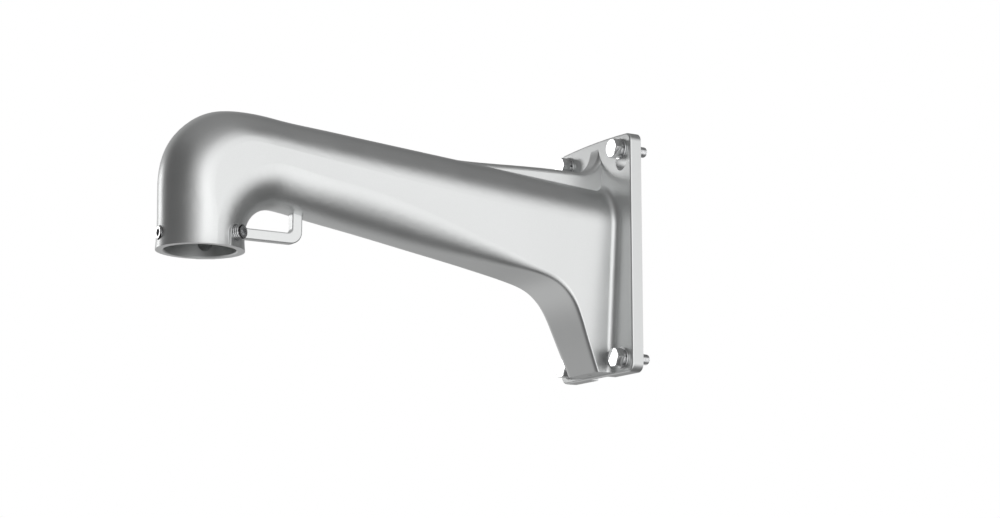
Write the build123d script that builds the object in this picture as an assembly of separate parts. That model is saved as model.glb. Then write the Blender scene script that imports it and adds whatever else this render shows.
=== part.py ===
from build123d import *
from math import atan, cos, degrees, radians, sin, sqrt, tan
import os

# Camera wall bracket: one aluminium casting with its wall bolts, washers and clamp screws.
#
# Frame: millimetres, +Z up. The origin is the middle of the wall face. The wall plate lies
# in the YZ plane with its wall face at X = 0, and the arm reaches out along +X to a socket
# that opens downwards. The casting is alike on both sides of the XZ plane.

# Wall plate
plate_side_margin = 12.5        # from a bolt's axis to the side
plate_end_margin = 10.9         # from a bolt's axis to the bottom, and to the top at the corners
plate_thickness = 9.5
plate_crown = 1.6               # the top edge bows upwards by this much
plate_corner_radius = 6.5
plate_edge_radius = 1.2         # round along the edge of the front face

# Wall bolts and their washers
bolt_spacing_across = 72.0
bolt_spacing_up = 157.0
bolt_diameter = 8.0             # over the thread, which starts at the wall
bolt_shank_diameter = 7.2       # thin plain shank inside the plate
bolt_length = 25.0              # under the head
bolt_flats = 13.0
bolt_head_height = 5.3
bolt_face_diameter = 12.4       # flat round face left by the chamfer on the head's corners
bolt_end_chamfer = 0.8
bolt_hole_clearance = 1.0       # added to the bolt's diameter
flat_washer_outer = 16.0
washer_bore_clearance = 0.4     # added to the bolt's diameter
flat_washer_thickness = 1.6
spring_washer_outer = 13.0
spring_washer_thickness = 2.0
spring_washer_split = 1.6
spring_washer_slant = 20.0      # degrees
keyhole_diameter = 14.0         # wide end of the upper holes
keyhole_drop = 9.0              # from the bolt down to the middle of the wide end

# Head and socket
socket_x = 328.8                # socket axis from the wall
socket_mouth_z = -23.9
tube_radius = 29.5
mouth_flare = 0.6               # the tube is wider at its mouth by this much
bore_radius = 24.5              # takes a pipe of 48.3 mm
bore_depth = 27.0
bore_chamfer = 0.8
outer_bend_radius = 50.0
inner_bend_radius = 23.5
crest_top_z = 75.4              # highest point of the outer bend

# Arm
wall = 4.5
head_wall = 7.2                 # thicker round the bend, so that the bore ends in a step
crest_slope = 0.077             # fall of the top line towards the wall
belly_slope = 0.1643            # fall of the underside towards the wall
belly_drop = 2.7                # the round part near the head hangs lower by this much
belly_drop_start = 87.0         # none of it from here to the wall
belly_drop_end = 195.0          # all of it from here outwards
flank_lean = 5.0                # degrees, at the wall
lean_end = 100.0                # the flanks lean fully from here to the wall
lean_start = 280.0              # and are upright from here outwards
shoulder_radius = 29.8          # round of the arm's top at the wall
edge_radius = 4.6               # lower edges near the wall
square_end = 46.0               # the lower edges are no rounder from here to the wall
round_start = 210.0             # and the arm is a round tube from here outwards
thin_end = 204.0                # the hollow's wall is thin from here to the wall
thin_start = 272.0              # and as thick as in the head from here outwards

# Gusset under the arm
gusset_corner_x = 48.4          # where the underside and the gusset's front would meet
gusset_corner_z = -24.0
gusset_lean = 22.6              # degrees from upright
gusset_bend_radius = 42.0
gusset_crest_start = 73.0       # point of the top line above the start of the gusset's bend
gusset_crest_end = 38.0         # and above its end
gusset_step = 0.6               # its bottom lies this far above the round of the plate's front edge
foot_start_x = 32.0             # the sections near the wall start here
foot_spacing = 8.0              # this far apart
foot_count = 6                  # so that they run on past the wall
root_radius = 5.0               # fillet where the arm meets the plate
scoop_radius = 15.5             # relief round each lower bolt
scoop_depth = 9.5

# Spine on top of the arm
spine_width = 18.0
spine_start_x = 150.0
spine_start_depth = 1.0         # its end lies this far under the top line there
spine_root_depth = 6.8          # and its root this far under the top line at the wall
spine_knee_x = 90.0
spine_knee_z = 63.2
spine_level_z = 64.8
spine_flare_radius = 20.0
spine_edge_radius = 4.0

# Clamp screws and their bosses round the socket
boss_count = 3
boss_rim = 1.5                  # metal beside the screw, across the boss
boss_stand = 1.0                # flat face of a boss outside the tube
boss_screw_height = 9.8         # screw axis above the mouth
boss_edge_radius = 0.5
screw_diameter = 10.0
screw_hole_clearance = 0.2      # added to the screw's diameter
screw_hole_chamfer = 0.5
screw_end_chamfer = 0.8
screw_hex_flats = 5.0
screw_hex_depth = 3.5
screw_proud = (0.1, 5.6, 0.1)   # how far each one stands out of its boss
screw_tip_gap = 0.2             # each one ends this far short of the bore

# Safety rope loop
loop_bar = 7.4
loop_under_z = -12.7            # underside of its level bar
loop_outer_x = 254.6
loop_outer_radius = 8.5
loop_inner_radius = 3.5
loop_root_radius = 3.0          # fillet between the level bar and the tube
loop_edge_radius = 1.0

# Drain notch and weep hole in the bottom
drain_width = 23.0
drain_depth = 7.0
drain_height = 2.3
weep_diameter = 2.5
weep_x = 15.0

# Fine points
touch = 0.01                    # two places closer than this are the same
flat_margin = 0.5               # a round section's corners are this much smaller than its crown
overshoot = 1.0                 # the bore's cut starts this far outside the metal

half_width = bolt_spacing_across / 2 + plate_side_margin
half_height = bolt_spacing_up / 2 + plate_end_margin
gusset_bottom_z = gusset_step + plate_edge_radius - half_height
bend_x = socket_x + tube_radius - outer_bend_radius
bend_z = crest_top_z - outer_bend_radius
throat_x = socket_x - tube_radius - inner_bend_radius
throat_z = (gusset_corner_z + belly_slope * (throat_x - gusset_corner_x) - belly_drop
            - inner_bend_radius * sqrt(1 + belly_slope ** 2))
crest_tilt = degrees(atan(crest_slope))
belly_tilt = degrees(atan(belly_slope))
boss_reach = tube_radius + boss_stand
boss_width = screw_diameter + 2 * boss_rim
screw_z = socket_mouth_z + boss_screw_height
bolt_places = [(side * bolt_spacing_across / 2, level * bolt_spacing_up / 2)
               for side in (1, -1) for level in (1, -1)]


def turned(angle):
    """Unit direction in the XZ plane at an angle above +X."""
    return Vector(cos(radians(angle)), 0, sin(radians(angle)))


def ease(x, low, high):
    """Rise from 0 to 1 between two distances from the wall, level at both ends."""
    share = min(max((x - low) / (high - low), 0), 1)
    return share * share * (3 - 2 * share)


class Rim:
    """A point of the side profile with its outward direction."""

    def __init__(self, place, outward):
        self.place = place
        self.outward = outward

    def inset(self, depth):
        return self.place - self.outward * depth


def outer_bend(angle):
    """Point of the outer bend."""
    return Rim(Vector(bend_x, 0, bend_z) + turned(angle) * outer_bend_radius, turned(angle))


def inner_bend(angle):
    """Point of the inner bend, whose centre lies outside the metal."""
    return Rim(Vector(throat_x, 0, throat_z) + turned(angle) * inner_bend_radius, turned(angle) * -1)


def crest(x):
    """Point of the arm's straight top line."""
    start = outer_bend(90 + crest_tilt).place
    return Rim(Vector(x, 0, start.Z - crest_slope * (start.X - x)), turned(90 + crest_tilt))


def belly(x):
    """Point of the arm's underside, which hangs a little lower where the arm is round."""
    drop = belly_drop * ease(x, belly_drop_start, belly_drop_end)
    z = gusset_corner_z + belly_slope * (x - gusset_corner_x) - drop
    return Rim(Vector(x, 0, z), turned(belly_tilt - 90))


def gusset_centre():
    """Centre of the bend between the underside and the gusset's front."""
    turn = 90 - gusset_lean - belly_tilt
    reach = gusset_bend_radius * tan(radians(turn / 2))
    tangent = Vector(gusset_corner_x, 0, gusset_corner_z) + turned(belly_tilt) * reach
    return tangent + turned(belly_tilt - 90) * gusset_bend_radius


def gusset_bend(share):
    """Point of that bend, from its start at 0 to its end at 1."""
    start = 90 + belly_tilt
    angle = start + share * (180 - gusset_lean - start)
    return Rim(gusset_centre() + turned(angle) * gusset_bend_radius, turned(angle) * -1)


def gusset_front(x):
    """Point of the gusset's leaning front, carried on below its bottom."""
    end = gusset_bend(1)
    drop = (end.place.X - x) / tan(radians(gusset_lean))
    return Rim(Vector(x, 0, end.place.Z - drop), end.outward)


def section(top, bottom, crown_radius, corner_radius, lean, depth):
    """Closed section between a crest point and a belly point, with its flanks leaning inwards."""
    high, low = top.inset(depth), bottom.inset(depth)
    up = (high - low).normalized()
    plane = Plane(origin=low, x_dir=(0, 1, 0), z_dir=Vector(0, 1, 0).cross(up))
    height = (high - low).length
    crown, corner = crown_radius - depth, max(corner_radius - depth, 1.0)
    c, s = cos(radians(lean)), sin(radians(lean))
    middle = height - crown
    corner_y = (crown - s * middle - corner + s * corner) / c
    spring = (crown * c, middle - crown * s)
    knee = (corner_y + corner * c, corner - corner * s)
    bend = sqrt(2 + 2 * s)
    hip = (corner_y + corner * c / bend, corner - corner * (1 + s) / bend)
    foot = (corner_y, 0)
    brow_angle = radians(45 - lean / 2)
    brow = (crown * cos(brow_angle), middle + crown * sin(brow_angle))
    apex = (0, height)

    def left(point):
        return (-point[0], point[1])

    with BuildLine(plane) as outline:
        ThreePointArc(apex, brow, spring)
        Line(spring, knee)
        ThreePointArc(knee, hip, foot)
        Line(foot, left(foot))
        ThreePointArc(left(foot), left(hip), left(knee))
        Line(left(knee), left(spring))
        ThreePointArc(left(spring), left(brow), apex)
    return make_face(outline.line)


def head_stations():
    """Crest point, belly point and radius round the head, from the socket's mouth to the arm."""
    wide = tube_radius + mouth_flare
    yield (Rim(Vector(socket_x + wide, 0, socket_mouth_z), turned(0)),
           Rim(Vector(socket_x - wide, 0, socket_mouth_z), turned(180)), wide)
    straight = bend_z - throat_z
    whole = straight + outer_bend_radius * radians(90 + crest_tilt)
    steps = 6
    for step in range(steps + 1):
        run = whole * step / steps
        if run < straight:
            crest_point = Rim(Vector(socket_x + tube_radius, 0, throat_z + run), turned(0))
        else:
            crest_point = outer_bend(degrees((run - straight) / outer_bend_radius))
        yield crest_point, inner_bend((90 + belly_tilt) * step / steps), tube_radius


def arm_stations():
    """Crest point, belly point and share of the way along the arm, from the head to the gusset."""
    crest_x, belly_x = outer_bend(90 + crest_tilt).place.X, inner_bend(90 + belly_tilt).place.X
    steps = 8
    for step in range(1, steps):
        share = step / steps
        yield (crest(crest_x + (gusset_crest_start - crest_x) * share),
               belly(belly_x + (gusset_bend(0).place.X - belly_x) * share), share)


def stations():
    """Crest point, belly point, crown and corner radius, lean and wall of each section."""
    for crest_point, belly_point, wide in head_stations():
        yield crest_point, belly_point, wide, wide - flat_margin, 0, head_wall
    for crest_point, belly_point, share in arm_stations():
        x = belly_point.place.X
        corner = edge_radius + (tube_radius - flat_margin - edge_radius) * ease(x, square_end, round_start)
        yield (crest_point, belly_point, tube_radius + (shoulder_radius - tube_radius) * share, corner,
               flank_lean * (1 - ease(x, lean_end, lean_start)),
               wall + (head_wall - wall) * ease(x, thin_end, thin_start))
    steps = 3
    for step in range(steps + 1):
        x = gusset_crest_start + (gusset_crest_end - gusset_crest_start) * step / steps
        yield crest(x), gusset_bend(step / steps), shoulder_radius, edge_radius, flank_lean, wall
    for step in range(foot_count):
        x = foot_start_x - foot_spacing * step
        yield crest(x), gusset_front(x), shoulder_radius, edge_radius, flank_lean, wall


def outline():
    """The wall plate's outline, with a bowed top and rounded corners."""
    right, high = half_width, half_height
    with BuildSketch(Plane.YZ) as sketch:
        with BuildLine():
            ThreePointArc((-right, high), (0, high + plate_crown), (right, high))
            Polyline((right, high), (right, -high), (-right, -high), (-right, high))
        make_face()
        fillet(sketch.vertices(), plate_corner_radius)
    return sketch.sketch


def plate():
    """The wall plate, rounded along the edge of its front face."""
    block = extrude(outline(), plate_thickness)
    front = block.faces().sort_by(Axis.X)[-1]
    return fillet(front.edges(), plate_edge_radius)


def room_above(z, x):
    """A block that reaches past the socket from a height upwards and from an X outwards."""
    size = 2 * socket_x
    return Pos(x, 0, z) * Box(size, size, size, align=(Align.MIN, Align.CENTER, Align.MIN))


def arm():
    """The arm from the socket's mouth to the wall, cut off level at its bottom."""
    whole = loft([section(*station[:5], 0) for station in stations()])
    return whole & room_above(gusset_bottom_z, 0)


def duct():
    """The hollow inside the arm, open at the wall and into the socket."""
    return loft([section(*station) for station in stations()]) & room_above(gusset_bottom_z + wall, -wall)


def rooted_arm():
    """The arm on its plate, with a fillet where the arm's flanks and top meet the plate."""
    body = arm() + plate()
    front = body.edges().filter_by_position(Axis.X, plate_thickness - touch, plate_thickness + touch)
    root = [edge for edge in front if abs(edge.center().Y) < shoulder_radius + root_radius
            and gusset_bottom_z + root_radius < edge.center().Z < half_height - root_radius]
    return body.fillet(root_radius, root)


def spine():
    """The ridge that leaves the arm's top and flares up the plate."""
    start = crest(spine_start_x).place
    flare_start = (plate_thickness + spine_flare_radius, spine_level_z)
    flare_end = (plate_thickness, spine_level_z + spine_flare_radius)
    start_z = start.Z - spine_start_depth
    base_z = crest(0).place.Z - spine_root_depth
    buried_x = plate_thickness / 2
    with BuildSketch(Plane.XZ) as side:
        with BuildLine():
            Line((start.X, base_z), (start.X, start_z))
            Spline((start.X, start_z), (spine_knee_x, spine_knee_z), flare_start,
                   tangents=[(-1, -crest_slope), (-1, 0)])
            RadiusArc(flare_start, flare_end, spine_flare_radius)
            Polyline(flare_end, (buried_x, flare_end[1]), (buried_x, base_z), (start.X, base_z))
        make_face()
    ridge = extrude(side.sketch, spine_width / 2, both=True)
    top = [edge for edge in ridge.edges().filter_by(GeomType.LINE, reverse=True)
           if abs(edge.center().Y) > spine_width / 4]
    return ridge.fillet(spine_edge_radius, top)


def screw_plane(index):
    """Plane on a boss's flat face, square to its screw, looking outwards."""
    outward = Vector(1, 0, 0).rotate(Axis.Z, index * 360 / boss_count)
    return Plane(origin=Vector(socket_x, 0, screw_z) + outward * boss_reach,
                 x_dir=Vector(0, 0, 1).cross(outward), z_dir=outward)


def screw_hole(index):
    """Clearance hole of one clamp screw, chamfered at its boss."""
    radius = (screw_diameter + screw_hole_clearance) / 2
    rim = Pos(0, 0, -screw_hole_chamfer / 2) * Cone(radius, radius + screw_hole_chamfer, screw_hole_chamfer)
    return screw_plane(index) * (Cylinder(radius, boss_reach) + rim)


def boss(index):
    """Flat-faced, round-topped boss for one clamp screw, rooted in the socket's wall."""
    face = screw_plane(index)
    with BuildSketch(face) as shield:
        Circle(boss_width / 2)
        with Locations((0, -boss_screw_height / 2)):
            Rectangle(boss_width, boss_screw_height)
    block = extrude(shield.sketch, (tube_radius + bore_radius) / 2 - boss_reach)
    front = block.faces().sort_by_distance(face.origin)[0]
    bottom = block.faces().sort_by(Axis.Z)[0]
    rims = [edge for edge in front.edges() if edge not in bottom.edges()]
    return block.fillet(boss_edge_radius, rims)


def loop():
    """The safety rope loop: a level bar out of the socket and a leg up to the arm."""
    buried_x = socket_x - (tube_radius + bore_radius) / 2
    over_z = loop_under_z + loop_bar
    inner_x = loop_outer_x + loop_bar
    roof_z = belly((loop_outer_x + inner_x) / 2).place.Z + wall / 2
    root_x = throat_x + sqrt(inner_bend_radius ** 2 - (over_z - throat_z) ** 2)
    root_z = over_z + 2 * loop_root_radius
    corners = {(loop_outer_x, loop_under_z): loop_outer_radius, (inner_x, over_z): loop_inner_radius,
               (root_x, over_z): loop_root_radius}
    with BuildSketch(Plane.XZ) as side:
        with BuildLine():
            Polyline((buried_x, loop_under_z), (loop_outer_x, loop_under_z), (loop_outer_x, roof_z),
                     (inner_x, roof_z), (inner_x, over_z), (root_x, over_z), (root_x, root_z),
                     (buried_x, root_z), close=True)
        make_face()
        for (x, z), radius in corners.items():
            fillet(side.vertices().sort_by_distance((x, z, 0))[0], radius)
    bar = extrude(side.sketch, loop_bar / 2, both=True)
    long_edges = [edge for edge in bar.edges() if abs(abs(edge.center().Y) - loop_bar / 2) < touch
                  and edge.center().X < root_x - touch and edge.center().Z < roof_z - touch]
    return bar.fillet(loop_edge_radius, long_edges)


def bolt_hole(place, height):
    """Clearance hole of one wall bolt, a keyhole where the bolt is an upper one."""
    hole_radius = (bolt_diameter + bolt_hole_clearance) / 2
    with BuildSketch(Plane.YZ) as outline:
        with Locations((place, height)):
            Circle(hole_radius)
        if height > 0:
            with Locations((place, height - keyhole_drop)):
                Circle(keyhole_diameter / 2)
            with Locations((place, height - keyhole_drop / 2)):
                Rectangle(2 * hole_radius, keyhole_drop)
    return extrude(outline.sketch, plate_thickness)


def scoop(place, height):
    """Relief in the gusset's flank that clears a lower bolt's head and washers."""
    cut = Plane.YZ.offset(plate_thickness) * Pos(place, height) * Cylinder(
        scoop_radius, scoop_depth, align=(Align.CENTER, Align.CENTER, Align.MIN))
    return cut.fillet(scoop_depth / 2, cut.faces().sort_by(Axis.X)[-1].edges())


def drain():
    """Notch in the bottom edge at the wall, and the weep hole from the hollow."""
    notch = Pos(drain_depth / 2, 0, -half_height) * Box(drain_depth, drain_width, 2 * drain_height)
    weep = Pos(weep_x, 0, -half_height) * Cylinder(weep_diameter / 2, 3 * wall)
    return notch, weep


def socket_bore():
    """Bore for the pipe, with a chamfered mouth."""
    bore = Pos(socket_x, 0, socket_mouth_z - overshoot) * Cylinder(
        bore_radius, bore_depth + overshoot, align=(Align.CENTER, Align.CENTER, Align.MIN))
    rim = Pos(socket_x, 0, socket_mouth_z) * Cone(
        bore_radius + bore_chamfer, bore_radius, bore_chamfer, align=(Align.CENTER, Align.CENTER, Align.MIN))
    return bore + rim


def casting():
    """The whole casting: arm, plate, spine, bosses and loop, less its hollow and holes."""
    body = rooted_arm() + spine()
    for index in range(boss_count):
        body += boss(index)
    body += loop()
    body -= duct()
    body -= socket_bore()
    for index in range(boss_count):
        body -= screw_hole(index)
    for place, height in bolt_places:
        body -= bolt_hole(place, height)
        if height < 0:
            body -= scoop(place, height)
    for cut in drain():
        body -= cut
    return body


def seat(place, height, standoff):
    """Plane square to the wall on a bolt's axis, a stand-off in front of the plate."""
    return Plane.YZ.offset(plate_thickness + standoff) * Pos(place, height)


def flat_washer(place, height):
    """Plain washer against the plate."""
    ring = Circle(flat_washer_outer / 2) - Circle((bolt_diameter + washer_bore_clearance) / 2)
    return extrude(seat(place, height, 0) * ring, flat_washer_thickness)


def spring_washer(place, height):
    """Spring washer on the plain one, split on a slant."""
    ring = Circle(spring_washer_outer / 2) - Circle((bolt_diameter + washer_bore_clearance) / 2)
    on = seat(place, height, flat_washer_thickness)
    gap = on * Pos(0, spring_washer_outer / 2, spring_washer_thickness / 2) * Rot(0, spring_washer_slant, 0) * Box(
        spring_washer_split, spring_washer_outer, 3 * spring_washer_thickness)
    return extrude(on * ring, spring_washer_thickness) - gap


def wall_bolt(place, height):
    """Hexagon bolt with chamfered corners and a thin shank, whose thread points into the wall."""
    under_head = flat_washer_thickness + spring_washer_thickness
    on = seat(place, height, under_head)
    corners = bolt_flats / cos(radians(30)) / 2
    head = extrude(on * RegularPolygon(bolt_flats / 2, 6, major_radius=False, rotation=30), bolt_head_height)
    rise = (corners - bolt_face_diameter / 2) * tan(radians(30))
    cone = on * Pos(0, 0, bolt_head_height - rise) * Cone(
        corners, bolt_face_diameter / 2, rise, align=(Align.CENTER, Align.CENTER, Align.MIN))
    trunk = extrude(on * Circle(corners), bolt_head_height - rise)
    grip = under_head + plate_thickness
    shank = extrude(on * Circle(bolt_shank_diameter / 2), -grip)
    thread = extrude(seat(place, height, -plate_thickness) * Circle(bolt_diameter / 2), grip - bolt_length)
    thread = chamfer(thread.faces().sort_by(Axis.X)[0].edges(), bolt_end_chamfer)
    return (head & (cone + trunk)) + shank + thread


def clamp_screw(index):
    """Headless clamp screw with a hexagon socket."""
    end = screw_plane(index).offset(screw_proud[index])
    length = boss_reach + screw_proud[index] - bore_radius - screw_tip_gap
    body = extrude(end * Circle(screw_diameter / 2), -length)
    ends = body.edges().filter_by(GeomType.CIRCLE)
    body = chamfer(ends, screw_end_chamfer)
    return body - extrude(end * RegularPolygon(screw_hex_flats / 2, 6, major_radius=False), -screw_hex_depth)


def main():
    """Write one STEP file for each node."""
    os.makedirs("parts", exist_ok=True)
    nodes = {
        "bracket_casting": casting(),
        "wall_bolts": Compound([wall_bolt(*place) for place in bolt_places]),
        "spring_washers": Compound([spring_washer(*place) for place in bolt_places]),
        "flat_washers": Compound([flat_washer(*place) for place in bolt_places]),
        "clamp_screws": Compound([clamp_screw(index) for index in range(boss_count)]),
    }
    for name, shape in nodes.items():
        export_step(shape, f"parts/{name}.step")


if __name__ == "__main__":
    main()
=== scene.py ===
"""Looks of the camera wall bracket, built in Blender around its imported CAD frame.

The frame is in metres: +X leads out from the wall, +Z is up, and the origin is the middle of
the wall face. The casting keeps the shape and the shading of its CAD node. The fasteners are
modelled again, with their threads, chamfers and sockets.
"""

import logging
import math
from dataclasses import dataclass
from enum import Enum
from typing import Callable, Iterator

import bpy
from mathutils import Matrix, Vector


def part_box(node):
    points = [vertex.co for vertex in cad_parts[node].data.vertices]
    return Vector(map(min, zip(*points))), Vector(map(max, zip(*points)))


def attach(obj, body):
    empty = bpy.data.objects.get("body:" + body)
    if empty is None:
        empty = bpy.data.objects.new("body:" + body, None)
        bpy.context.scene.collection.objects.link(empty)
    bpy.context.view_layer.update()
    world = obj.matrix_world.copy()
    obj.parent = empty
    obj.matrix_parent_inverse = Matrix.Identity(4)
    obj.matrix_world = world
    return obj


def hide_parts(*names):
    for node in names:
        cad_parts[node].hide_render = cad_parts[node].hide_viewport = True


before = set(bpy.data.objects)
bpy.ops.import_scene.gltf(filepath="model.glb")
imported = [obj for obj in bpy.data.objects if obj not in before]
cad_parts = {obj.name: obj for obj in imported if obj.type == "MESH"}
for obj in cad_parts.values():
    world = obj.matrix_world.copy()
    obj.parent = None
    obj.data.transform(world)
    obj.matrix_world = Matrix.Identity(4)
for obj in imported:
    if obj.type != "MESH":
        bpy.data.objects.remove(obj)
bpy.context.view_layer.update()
MM = 0.001
TURN = 2 * math.pi
LIE_ALONG_X = Matrix.Rotation(math.pi / 2, 4, "Y")

# Steps round a plain round edge, and the angle past which an edge is shaded sharp
ROUND_SIDES = 96
CREASE = math.radians(35)

# Length of a cutter, in thicknesses of what it goes through
THROUGH = 3

log = logging.getLogger("bracket")


class Slot(Enum):
    """The record's material slots."""

    CASTING = "cast_aluminium"
    BRIGHT = "bright_steel"
    SPRING = "spring_steel"
    SCREW = "screw_steel"


class Graph:
    """Node tree of one material or world, written as expressions on its sockets."""

    def __init__(self, tree: bpy.types.NodeTree) -> None:
        """Empties the tree.

        Args:
            tree: node tree to fill.
        """
        self.tree = tree
        tree.nodes.clear()

    def add(self, kind: str, settings: dict | None = None, **sockets) -> bpy.types.Node:
        """Adds one node.

        Args:
            kind: the node's type, without its leading ShaderNode.
            settings: its own settings, set before its sockets.
            sockets: values or fields by socket name, with _ for a space, or by number as in s0.

        Returns:
            The new node.
        """
        node = self.tree.nodes.new("ShaderNode" + kind)
        for name, value in (settings or {}).items():
            setattr(node, name, value)
        for name, value in sockets.items():
            numbered = name[0] == "s" and name[1:].isdigit()
            key = int(name[1:]) if numbered else name.replace("_", " ")
            if isinstance(value, Field):
                self.tree.links.new(value.socket, node.inputs[key])
            else:
                node.inputs[key].default_value = value
        return node

    def field(self, node: bpy.types.Node, output: str | int = 0) -> "Field":
        """One output of a node, as a field."""
        return Field(self, node.outputs[output])

    def noise(self, place: "Field", size: float, detail: float, roughness: float = 0.5) -> "Field":
        """Noise from 0 to 1.

        Args:
            place: where it is read.
            size: size of its largest spots.
            detail: how many finer layers it has.
            roughness: how strong the finer layers are.

        Returns:
            The noise.
        """
        return self.field(self.add("TexNoise", Vector=place, Scale=1 / size, Detail=detail,
                                   Roughness=roughness))

    def metal(self, grey: tuple[float, float, float], tone: "Field", roughness: "Field",
              relief: "Field", depth: float, strength: float) -> None:
        """Ends a material's tree in bare metal.

        Args:
            grey: the metal's colour.
            tone: how much lighter or darker it is from place to place, around 1.
            roughness: its roughness.
            relief: height of its fine relief.
            depth: distance that one unit of the relief stands for.
            strength: share of the relief that shows.
        """
        colour = self.add("Mix", {"data_type": "RGBA", "blend_type": "MULTIPLY"}, Factor=1.0,
                          s6=(*grey, 1.0), s7=tone)
        bump = self.add("Bump", Strength=strength, Distance=depth, Height=relief)
        shader = self.add("BsdfPrincipled", Base_Color=self.field(colour, 2), Metallic=1.0,
                          Roughness=roughness, Normal=self.field(bump))
        self.add("OutputMaterial", Surface=self.field(shader))


class Field:
    """A socket's value, which adds Math nodes where it is used in an expression."""

    def __init__(self, graph: Graph, socket: bpy.types.NodeSocket) -> None:
        """Wraps an output socket."""
        self.graph = graph
        self.socket = socket

    def _math(self, operation: str, first: "Field | float", second: "Field | float") -> "Field":
        """Adds one Math node and gives its result."""
        return self.graph.field(self.graph.add("Math", {"operation": operation}, s0=first, s1=second))

    def __add__(self, other: "Field | float") -> "Field":
        """Sum."""
        return self._math("ADD", self, other)

    def __radd__(self, other: float) -> "Field":
        """Sum, with a number first."""
        return self._math("ADD", other, self)

    def __sub__(self, other: "Field | float") -> "Field":
        """Difference."""
        return self._math("SUBTRACT", self, other)

    def __rsub__(self, other: float) -> "Field":
        """Difference, with a number first."""
        return self._math("SUBTRACT", other, self)

    def __mul__(self, other: "Field | float") -> "Field":
        """Product."""
        return self._math("MULTIPLY", self, other)

    def __rmul__(self, other: float) -> "Field":
        """Product, with a number first."""
        return self._math("MULTIPLY", other, self)

    def __pow__(self, other: float) -> "Field":
        """Power."""
        return self._math("POWER", self, other)

    def __abs__(self) -> "Field":
        """Size without sign."""
        return self._math("ABSOLUTE", self, 0.0)

    def wave(self) -> "Field":
        """Sine."""
        return self._math("SINE", self, 0.0)

    def swing(self, amount: float) -> "Field":
        """Turns noise from 0 to 1 into a swing of an amount either way."""
        return (self - 0.5) * (2 * amount)

    def ramp(self, low: float, high: float) -> "Field":
        """Share of the way from low to high, from 0 to 1, with soft ends."""
        node = self.graph.add("MapRange", {"interpolation_type": "SMOOTHSTEP"}, Value=self,
                              From_Min=low, From_Max=high)
        return self.graph.field(node)


def blank_material(name: str) -> tuple[bpy.types.Material, Graph]:
    """A material with an empty node tree.

    Args:
        name: the material's name.

    Returns:
        The material and its graph.
    """
    material = bpy.data.materials.new(name)
    material.use_nodes = True
    return material, Graph(material.node_tree)


@dataclass(frozen=True)
class BlastedAluminium:
    """Cast aluminium with a fine bead-blasted skin."""

    name: str = "bead_blasted_aluminium"
    grey: tuple[float, float, float] = (0.775, 0.785, 0.783)
    roughness: float = 0.36
    roughness_swing: float = 0.05
    grain_size: float = 0.55 * MM
    grain_detail: float = 3.0
    grain_roughness: float = 0.6
    grain_depth: float = 0.02 * MM
    grain_strength: float = 1.0
    grain_tint: float = 0.05
    cloud_size: float = 24 * MM
    cloud_detail: float = 2.0
    cloud_tint: float = 0.035

    def make(self) -> bpy.types.Material:
        """Builds the material.

        Returns:
            The material, with its grain in colour, roughness and bump.
        """
        material, g = blank_material(self.name)
        place = g.field(g.add("TexCoord"), "Object")
        grain = g.noise(place, self.grain_size, self.grain_detail, self.grain_roughness)
        cloud = g.noise(place, self.cloud_size, self.cloud_detail)
        tone = 1.0 + grain.swing(self.grain_tint) + cloud.swing(self.cloud_tint)
        roughness = self.roughness + cloud.swing(self.roughness_swing)
        g.metal(self.grey, tone, roughness, grain, self.grain_depth, self.grain_strength)
        return material


@dataclass(frozen=True)
class TurnedSteel:
    """Plated steel with the faint rings that turning leaves."""

    name: str
    grey: tuple[float, float, float]
    roughness: float
    ring_pitch: float = 0.35 * MM
    ring_depth: float = 0.0003 * MM
    ring_strength: float = 0.6
    ring_wander: float = 3.0
    smear_size: float = 2.5 * MM
    smear_detail: float = 3.0
    smear_tint: float = 0.03
    smear_roughness: float = 0.03

    def make(self) -> bpy.types.Material:
        """Builds the material.

        Returns:
            The material. Its rings run round the nearest wall bolt's axis.
        """
        material, g = blank_material(self.name)
        place = g.field(g.add("TexCoord"), "Object")
        split = g.add("SeparateXYZ", Vector=place)
        across = abs(g.field(split, "Y")) - BoltHardware.spacing_across / 2
        up = abs(g.field(split, "Z")) - BoltHardware.spacing_up / 2
        radius = (across * across + up * up) ** 0.5
        smear = g.noise(place, self.smear_size, self.smear_detail)
        rings = (radius * (TURN / self.ring_pitch) + smear * self.ring_wander).wave()
        tone = 1.0 + smear.swing(self.smear_tint)
        roughness = self.roughness + smear * self.smear_roughness
        g.metal(self.grey, tone, roughness, rings, self.ring_depth, self.ring_strength)
        return material


def deselect() -> None:
    """Deselects every object."""
    bpy.ops.object.select_all(action="DESELECT")


def only(piece: bpy.types.Object) -> None:
    """Selects one object and makes it the active one."""
    deselect()
    piece.select_set(True)
    bpy.context.view_layer.objects.active = piece


def edit(piece: bpy.types.Object, wanted: Callable[[bpy.types.MeshEdge], bool],
         work: Callable[[], object]) -> None:
    """Runs an operator on some edges of a piece's mesh in edit mode.

    Args:
        piece: object to edit.
        wanted: tells which edges are selected.
        work: what to run once they are.
    """
    only(piece)
    bpy.context.tool_settings.mesh_select_mode = (False, True, False)
    for part in (piece.data.vertices, piece.data.polygons):
        part.foreach_set("select", [False] * len(part))
    piece.data.edges.foreach_set("select", [wanted(edge) for edge in piece.data.edges])
    bpy.ops.object.mode_set(mode="EDIT")
    work()
    bpy.ops.object.mode_set(mode="OBJECT")


def modify(piece: bpy.types.Object, kind: str, **settings) -> None:
    """Adds a modifier and applies it.

    Args:
        piece: object to change.
        kind: the modifier's type.
        settings: its settings.
    """
    only(piece)
    modifier = piece.modifiers.new(kind.lower(), kind)
    for name, value in settings.items():
        setattr(modifier, name, value)
    bpy.ops.object.modifier_apply(modifier=modifier.name)


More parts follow.
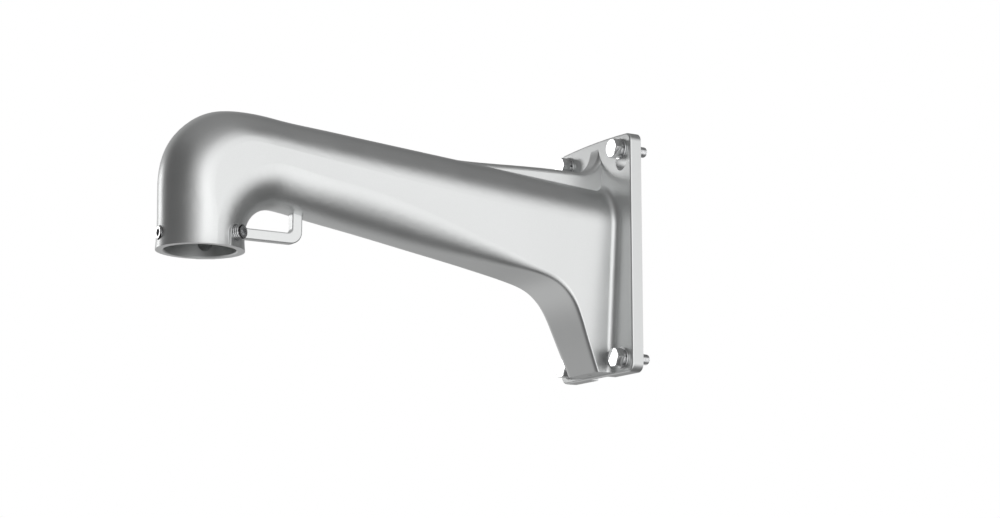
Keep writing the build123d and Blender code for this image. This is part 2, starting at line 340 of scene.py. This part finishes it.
def round_edges(piece: bpy.types.Object, width: float, steps: int, angle: float) -> None:
    """Rounds a piece's edges that are sharper than an angle.

    Args:
        piece: object to change.
        width: size of the rounded edges.
        steps: faces across each.
        angle: the angle.
    """
    modify(piece, "BEVEL", width=width, segments=steps, limit_method="ANGLE", angle_limit=angle)


def settle(piece: bpy.types.Object, matrix: Matrix | None = None) -> bpy.types.Object:
    """Moves a piece's place into its mesh, so that its object sits at the origin.

    Args:
        piece: object to settle.
        matrix: further move, after the object's own.

    Returns:
        The same object.
    """
    piece.data.transform((matrix or Matrix.Identity(4)) @ piece.matrix_basis)
    piece.matrix_basis = Matrix.Identity(4)
    piece.data.update()
    return piece


def twin(piece: bpy.types.Object, name: str, matrix: Matrix) -> bpy.types.Object:
    """Copies a piece with its own mesh to another place.

    Args:
        piece: object to copy.
        name: the copy's name.
        matrix: the move from the piece to its copy.

    Returns:
        The copy, at the origin with its place in its mesh.
    """
    copy = piece.copy()
    copy.data = piece.data.copy()
    copy.name = name
    bpy.context.scene.collection.objects.link(copy)
    return settle(copy, matrix)


def smooth(piece: bpy.types.Object, angle: float = CREASE) -> None:
    """Shades a piece smooth, apart from edges sharper than an angle."""
    only(piece)
    bpy.ops.object.shade_smooth_by_angle(angle=angle)


def cut(piece: bpy.types.Object, tool: bpy.types.Object, operation: str = "DIFFERENCE") -> None:
    """Cuts a piece with a tool, or keeps what they share, and deletes the tool."""
    modify(piece, "BOOLEAN", object=tool, operation=operation, solver="EXACT")
    bpy.data.objects.remove(tool)


def prism(corners: int, radius: float, depth: float, base: float = 0.0,
          top_radius: float | None = None) -> bpy.types.Object:
    """Adds a straight or tapered prism that stands on Z.

    Args:
        corners: number of corners.
        radius: from the axis to a corner.
        depth: height.
        base: height of its foot.
        top_radius: radius at its top where it tapers.

    Returns:
        The new object.
    """
    deselect()
    bpy.ops.mesh.primitive_cone_add(vertices=corners, radius1=radius,
                                    radius2=radius if top_radius is None else top_radius,
                                    depth=depth, location=(0, 0, base + depth / 2))
    return settle(bpy.context.active_object)


def hexagon(flats: float, depth: float, base: float = 0.0) -> bpy.types.Object:
    """Adds a hexagonal prism of a width across its flats, which stands on Z."""
    return prism(6, flats / 2 / math.cos(math.pi / 6), depth, base)


def ring(outer: float, inner: float, depth: float, edge_round: float) -> bpy.types.Object:
    """A flat ring on Z with rounded edges.

    Args:
        outer: outer diameter.
        inner: diameter of its hole.
        depth: thickness.
        edge_round: size of its rounded edges.

    Returns:
        The ring.
    """
    disc = prism(ROUND_SIDES, outer / 2, depth)
    cut(disc, prism(ROUND_SIDES, inner / 2, THROUGH * depth, -depth))
    round_edges(disc, edge_round, steps=2, angle=CREASE)
    smooth(disc)
    return disc


@dataclass(frozen=True)
class Thread:
    """An outside thread, with flats at crest and root and a taper at both ends."""

    diameter: float
    root_diameter: float
    pitch: float
    chamfer: float
    sides: int
    flat_share: float = 0.1875
    rings_in_turn: int = 10
    fewest_rings: int = 8

    def rod(self, base: float, top: float) -> bpy.types.Object:
        """Models a closed rod along Z with this thread.

        Args:
            base: lower end.
            top: upper end.

        Returns:
            The rod.
        """
        length = top - base
        rod = prism(self.sides, self.diameter / 2, length, base)
        corners = rod.data.vertices

        def upright(edge: bpy.types.MeshEdge) -> bool:
            """Tells whether an edge runs up the rod's side."""
            low, high = (corners[index].co.z for index in edge.vertices)
            return abs(low - high) > length / 2

        rings = max(self.fewest_rings, round(self.rings_in_turn * length / self.pitch))
        edit(rod, upright, lambda: bpy.ops.mesh.subdivide_edgering(
            number_cuts=rings - 1, interpolation="LINEAR", smoothness=0.0))
        for vertex in rod.data.vertices:
            place = vertex.co
            end = min(place.z - base, top - place.z)
            share = self.reach(place, end) / math.hypot(place.x, place.y)
            place.x *= share
            place.y *= share
        return rod

    def reach(self, place: Vector, end: float) -> float:
        """Radius of the thread at a place on the rod.

        Args:
            place: the place.
            end: how far the nearer end is.

        Returns:
            The radius.
        """
        phase = (place.z / self.pitch - math.atan2(place.y, place.x) / TURN) % 1.0
        flank = (abs(2 * phase - 1) - self.flat_share) / (1 - 2 * self.flat_share)
        crest, root = self.diameter / 2, self.root_diameter / 2
        wound = root + (crest - root) * min(1.0, max(0.0, flank))
        return min(wound, crest - max(0.0, self.chamfer - end))


@dataclass
class SubAssembly:
    """Pieces that stand for one CAD node, with the name of the material slot that they belong to."""

    node: str
    slot: Slot

    def name(self, number: int) -> str:
        """Name of one of its pieces, which is the node's name as a single."""
        return f"{self.node.removesuffix('s')}_{number}"

    def dress(self, piece: bpy.types.Object, *materials: bpy.types.Material) -> bpy.types.Object:
        """Gives a finished piece its materials and its body.

        Args:
            piece: finished object.
            materials: its materials, in the order of its faces' indices.

        Returns:
            The same object.
        """
        piece.data.materials.clear()
        for material in materials:
            piece.data.materials.append(material)
        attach(piece, "root")
        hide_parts(self.node)
        log.info("%s: %d faces", piece.name, len(piece.data.polygons))
        return piece


@dataclass
class Casting(SubAssembly):
    """The bracket's one casting, which keeps its CAD node's shape and shading."""

    node: str = "bracket_casting"
    slot: Slot = Slot.CASTING
    finish: BlastedAluminium = BlastedAluminium()

    def build(self) -> None:
        """Gives the CAD node its blasted finish."""
        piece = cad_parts[self.node]
        aluminium = self.finish.make()
        for place in piece.material_slots:
            place.material = aluminium
        log.info("%s: %d faces", piece.name, len(piece.data.polygons))


@dataclass
class BoltHardware(SubAssembly):
    """Steel pieces of one kind, one at each of the plate's four bolts."""

    finish: TurnedSteel
    spacing_across: float = 72 * MM
    spacing_up: float = 157 * MM

    def places(self) -> Iterator[tuple[float, float]]:
        """Across and up places of the bolts."""
        for side in (1, -1):
            for level in (1, -1):
                yield side * self.spacing_across / 2, level * self.spacing_up / 2

    def seat(self, model: bpy.types.Object, height: float) -> None:
        """Copies a model to the four bolts, dresses the copies and deletes the model.

        Args:
            model: one piece, which stands on Z with its seat at the origin.
            height: of the seat over the wall face.
        """
        steel = self.finish.make()
        for number, (across, up) in enumerate(self.places(), 1):
            move = Matrix.Translation((height, across, up)) @ LIE_ALONG_X
            self.dress(twin(model, self.name(number), move), steel)
        bpy.data.objects.remove(model)


@dataclass
class WallBolt(BoltHardware):
    """The four hexagon bolts that hold the plate."""

    node: str = "wall_bolts"
    slot: Slot = Slot.BRIGHT
    finish: TurnedSteel = TurnedSteel("bright_plated_steel", (0.86, 0.865, 0.87), roughness=0.04)
    thread: Thread = Thread(8 * MM, 6.7 * MM, pitch=1.25 * MM, chamfer=0.8 * MM, sides=40)
    shank_diameter: float = 7.2 * MM
    flats: float = 13 * MM
    head_height: float = 5.3 * MM
    face_diameter: float = 13.2 * MM
    face_slope: float = math.radians(30)
    edge_round: float = 0.14 * MM
    edge_steps: int = 3
    edge_angle: float = math.radians(40)
    crease: float = math.radians(28)

    def build(self) -> None:
        """Models one bolt and copies it to its four places."""
        low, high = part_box(self.node)
        under_head = high.x - self.head_height
        self.seat(self.model(under_head, under_head - low.x), under_head)

    def model(self, grip: float, length: float) -> bpy.types.Object:
        """Models one bolt with its seat at the origin and its head up Z.

        Args:
            grip: from under the head to the wall, where the thread starts.
            length: from under the head to the end.

        Returns:
            The bolt.
        """
        head = self.head()
        rod = self.thread.rod(-length, -grip)
        shank = prism(self.thread.sides, self.shank_diameter / 2, grip + 2 * self.edge_round,
                      -grip - self.edge_round)
        only(head)
        rod.select_set(True)
        shank.select_set(True)
        bpy.ops.object.join()
        smooth(head, self.crease)
        return head

    def head(self) -> bpy.types.Object:
        """Models the head: a hexagon whose corners a flat cone takes off.

        Returns:
            The head.
        """
        head = hexagon(self.flats, self.head_height)
        rise = math.tan(self.face_slope)
        apex = self.head_height + self.face_diameter / 2 * rise
        depth = apex + self.head_height
        cone = prism(ROUND_SIDES, depth / rise, depth, -self.head_height, 0.0)
        cut(head, cone, "INTERSECT")
        round_edges(head, self.edge_round, self.edge_steps, self.edge_angle)
        return head


@dataclass
class FlatWasher(BoltHardware):
    """The plain washers on the plate."""

    node: str = "flat_washers"
    slot: Slot = Slot.BRIGHT
    finish: TurnedSteel = TurnedSteel("plain_washer_steel", (0.68, 0.685, 0.69), roughness=0.12)
    outer: float = 16 * MM
    bore: float = 8.4 * MM
    edge_round: float = 0.22 * MM

    def build(self) -> None:
        """Models one washer and copies it under each bolt."""
        low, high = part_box(self.node)
        self.seat(ring(self.outer, self.bore, high.x - low.x, self.edge_round), low.x)


@dataclass
class SpringWasher(BoltHardware):
    """The split spring washers under the bolt heads."""

    node: str = "spring_washers"
    slot: Slot = Slot.SPRING
    finish: TurnedSteel = TurnedSteel("spring_washer_steel", (0.60, 0.605, 0.61), roughness=0.22)
    outer: float = 13 * MM
    bore: float = 8.4 * MM
    split: float = 1.6 * MM
    slant: float = math.radians(20)
    edge_round: float = 0.12 * MM

    def build(self) -> None:
        """Models one split ring and copies it under each bolt head."""
        low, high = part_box(self.node)
        depth = high.x - low.x
        model = ring(self.outer, self.bore, depth, self.edge_round)
        deselect()
        bpy.ops.mesh.primitive_cube_add(size=1.0, location=(0, self.outer / 2, depth / 2),
                                        rotation=(0, self.slant, 0),
                                        scale=(self.split, self.outer, THROUGH * depth))
        cut(model, settle(bpy.context.active_object))
        smooth(model)
        self.seat(model, low.x)


@dataclass
class ClampScrew(SubAssembly):
    """The headless screws round the socket."""

    node: str = "clamp_screws"
    slot: Slot = Slot.SCREW
    finish: TurnedSteel = TurnedSteel("screw_steel", (0.66, 0.665, 0.67), roughness=0.20)
    # Near black on the screw ends is a painted dark reflection, not a finish of the steel.
    painted_reflection_finish: TurnedSteel = TurnedSteel("screw_end_painted_dark_reflection", (0.012, 0.012, 0.012), roughness=0.30)
    thread: Thread = Thread(10 * MM, 8.4 * MM, pitch=1.5 * MM, chamfer=0.8 * MM, sides=48)
    axis_x: float = 328.8 * MM
    axis_z: float = -14.1 * MM
    tip_reach: float = 24.7 * MM
    face_reach: float = 30.5 * MM
    proud: tuple[float, ...] = (0.1 * MM, 5.6 * MM, 0.1 * MM)
    hex_flats: float = 5 * MM
    hex_depth: float = 3.5 * MM

    def build(self) -> None:
        """Models each screw, turns it into its boss and paints a dark reflection on its outer rim."""
        steel = self.finish.make()
        painted_dark_reflection = self.painted_reflection_finish.make()
        for index, proud in enumerate(self.proud):
            end = self.face_reach + proud
            screw = self.thread.rod(self.tip_reach, end)
            screw.name = self.name(index + 1)
            cut(screw, hexagon(self.hex_flats, 2 * self.hex_depth, end - self.hex_depth))
            smooth(screw)
            # Faces on the outer end round the socket take the painted dark reflection.
            rim = [int(self.on_rim(face.center, end)) for face in screw.data.polygons]
            turn = Matrix.Rotation(TURN * index / len(self.proud), 4, "Z")
            settle(screw, Matrix.Translation((self.axis_x, 0, self.axis_z)) @ turn @ LIE_ALONG_X)
            self.dress(screw, steel, painted_dark_reflection)
            screw.data.polygons.foreach_set("material_index", rim)

    def on_rim(self, place: Vector, end: float) -> bool:
        """Tells whether a place on a standing screw is on its outer end, round the socket, where the dark
        reflection is painted.
        """
        return place.z > end - self.thread.chamfer and math.hypot(*place.xy) > self.hex_flats / 2


def direction(azimuth: float, elevation: float) -> Vector:
    """Unit vector towards an azimuth from +X and an elevation, in degrees."""
    a, e = math.radians(azimuth), math.radians(elevation)
    return Vector((math.cos(a) * math.cos(e), math.sin(a) * math.cos(e), math.sin(e)))


@dataclass(frozen=True)
class SoftPatch:
    """A round bright patch of the studio's walls, which fades from its core to its rim."""

    azimuth: float
    elevation: float
    rim: float
    level: float
    core: float = 4

    def glow(self, g: Graph, towards: Field) -> Field:
        """Light that the patch gives in each direction.

        Args:
            g: the world's graph.
            towards: the direction looked in.

        Returns:
            The patch's light.
        """
        axis = tuple(direction(self.azimuth, self.elevation))
        facing = g.field(g.add("VectorMath", {"operation": "DOT_PRODUCT"}, s0=towards, s1=axis), "Value")
        near = facing.ramp(math.cos(math.radians(self.rim)), math.cos(math.radians(self.core)))
        return near * self.level


@dataclass(frozen=True)
class SmallLamp:
    """A small square lamp, aimed at the frame's origin."""

    name: str
    azimuth: float
    elevation: float
    distance: float
    width: float
    level: float

    def place(self) -> None:
        """Adds the lamp."""
        towards = direction(self.azimuth, self.elevation)
        data = bpy.data.lights.new(self.name, "AREA")
        data.shape = "SQUARE"
        data.size = self.width
        data.energy = self.level * math.pi * self.width ** 2
        lamp = bpy.data.objects.new(self.name, data)
        lamp.location = towards * self.distance
        lamp.rotation_euler = (-towards).to_track_quat("-Z", "Y").to_euler()
        lamp.visible_camera = False
        bpy.context.scene.collection.objects.link(lamp)


@dataclass
class Studio:
    """Pale floor, soft light and the photograph's camera."""

    floor_z: float = -0.62
    floor_size: float = 12.0
    floor_grey: float = 0.80
    floor_glow: float = 0.7
    camera_place: tuple[float, float, float] = (0.8655, 1.3025, -0.2903)
    camera_yaw: float = math.radians(30.67)
    camera_pitch: float = math.radians(10.60)
    focal_share: float = 2.100
    sensor: float = 36.0
    room_grey: float = 0.125
    patches: tuple[SoftPatch, ...] = (
        SoftPatch(102, 0, rim=52, level=1.08),
        SoftPatch(62, -4, rim=42, level=0.36),
        SoftPatch(72, 34, rim=38, level=0.20),
        SoftPatch(76, -48, rim=38, level=0.80),
        SoftPatch(-92, 18, rim=44, level=0.34),
        SoftPatch(-80, -36, rim=46, level=0.44),
        SoftPatch(-130, 0, rim=36, level=0.20),
        SoftPatch(0, 88, rim=55, level=0.14, core=10),
    )
    glint: SmallLamp = SmallLamp("glint_light", -57, 10.5, distance=1.7, width=0.40, level=2.2)

    def build(self) -> None:
        """Builds the stage."""
        self.floor()
        self.sky()
        self.glint.place()
        self.camera()
        bpy.context.scene.view_settings.view_transform = "Standard"

    def floor(self) -> None:
        """Adds a pale floor. It takes the object's shadow, and the metal doesn't mirror it."""
        deselect()
        bpy.ops.mesh.primitive_plane_add(size=self.floor_size, location=(0, 0, self.floor_z))
        floor = settle(bpy.context.active_object)
        floor.name = "floor"
        material, g = blank_material("pale_floor")
        seen = g.field(g.add("LightPath"), "Is Camera Ray")
        plain = g.add("BsdfDiffuse", Color=(self.floor_grey,) * 3 + (1.0,))
        glow = g.add("Emission", Color=(1.0, 1.0, 1.0, 1.0), Strength=1.0)
        mixed = g.add("MixShader", s0=seen * self.floor_glow, s1=g.field(plain), s2=g.field(glow))
        g.add("OutputMaterial", Surface=g.field(mixed))
        floor.data.materials.append(material)
        floor.visible_glossy = False
        floor.visible_shadow = False

    def sky(self) -> None:
        """Fills the world: white behind the object, and a grey room with soft bright patches."""
        world = bpy.data.worlds.new("studio")
        bpy.context.scene.world = world
        world.use_nodes = True
        g = Graph(world.node_tree)
        towards = g.field(g.add("TexCoord"), "Generated")
        room = self.room_grey
        for patch in self.patches:
            room = room + patch.glow(g, towards)
        seen = g.field(g.add("LightPath"), "Is Camera Ray")
        level = room + seen * (1.0 - room)
        background = g.add("Background", Color=(1.0, 1.0, 1.0, 1.0), Strength=level)
        g.add("OutputWorld", Surface=g.field(background))

    def camera(self) -> None:
        """Adds the camera at the photograph's place and angle."""
        yaw, pitch = self.camera_yaw, self.camera_pitch
        look = Vector((-math.sin(yaw) * math.cos(pitch), -math.cos(yaw) * math.cos(pitch), math.sin(pitch)))
        data = bpy.data.cameras.new("camera")
        data.sensor_width = self.sensor
        data.lens = self.focal_share * self.sensor
        camera = bpy.data.objects.new("camera", data)
        camera.location = self.camera_place
        camera.rotation_euler = look.to_track_quat("-Z", "Y").to_euler()
        bpy.context.scene.collection.objects.link(camera)
        bpy.context.scene.camera = camera


def main() -> None:
    """Builds every sub-assembly in order, then the studio."""
    logging.basicConfig(level=logging.INFO, format="%(message)s")
    for assembly in (Casting(), WallBolt(), FlatWasher(), SpringWasher(), ClampScrew()):
        assembly.build()
    Studio().build()


if __name__ == "__main__":
    main()
